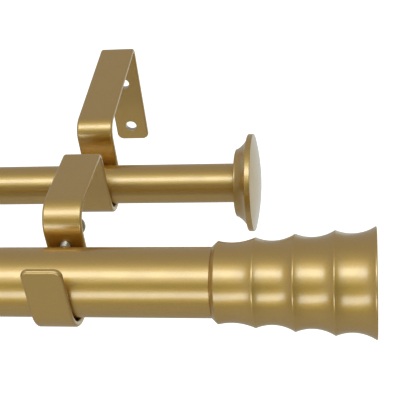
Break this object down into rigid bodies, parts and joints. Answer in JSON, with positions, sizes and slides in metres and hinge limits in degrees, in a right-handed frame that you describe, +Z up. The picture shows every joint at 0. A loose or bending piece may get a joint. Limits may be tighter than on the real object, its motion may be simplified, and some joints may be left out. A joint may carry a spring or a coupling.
{
  "type": "double curtain pole",
  "caption": "Double curtain pole in satin gold: a thick front pole with scalloped finials and a slim rear pole with domed ends, on folded strip brackets.",
  "frame": {"origin": "on the wall plane, midway between the two brackets and midway between the two screw holes of each", "axes": "+X along the poles to the right-hand end, +Y into the wall, +Z up"},
  "size_m": [0.8086, 0.1549, 0.0522],
  "materials": {
    "gold_coat": "satin metallic lacquer on steel, warm champagne gold",
    "screw_zinc": "bright zinc plating on steel",
    "plug_plastic": "moulded off-white polypropylene"
  },
  "bodies": {
    "root": {"bracket_left": "gold_coat", "bracket_right": "gold_coat", "clamp_screw_left": "screw_zinc", "clamp_screw_right": "screw_zinc", "end_cap_left": "gold_coat", "end_cap_plug_left": "plug_plastic", "end_cap_plug_right": "plug_plastic", "end_cap_right": "gold_coat", "finial_core_left": "plug_plastic", "finial_core_right": "plug_plastic", "finial_left": "gold_coat", "finial_right": "gold_coat", "front_pole": "gold_coat", "rear_pole": "gold_coat"}
  },
  "joints": []
}
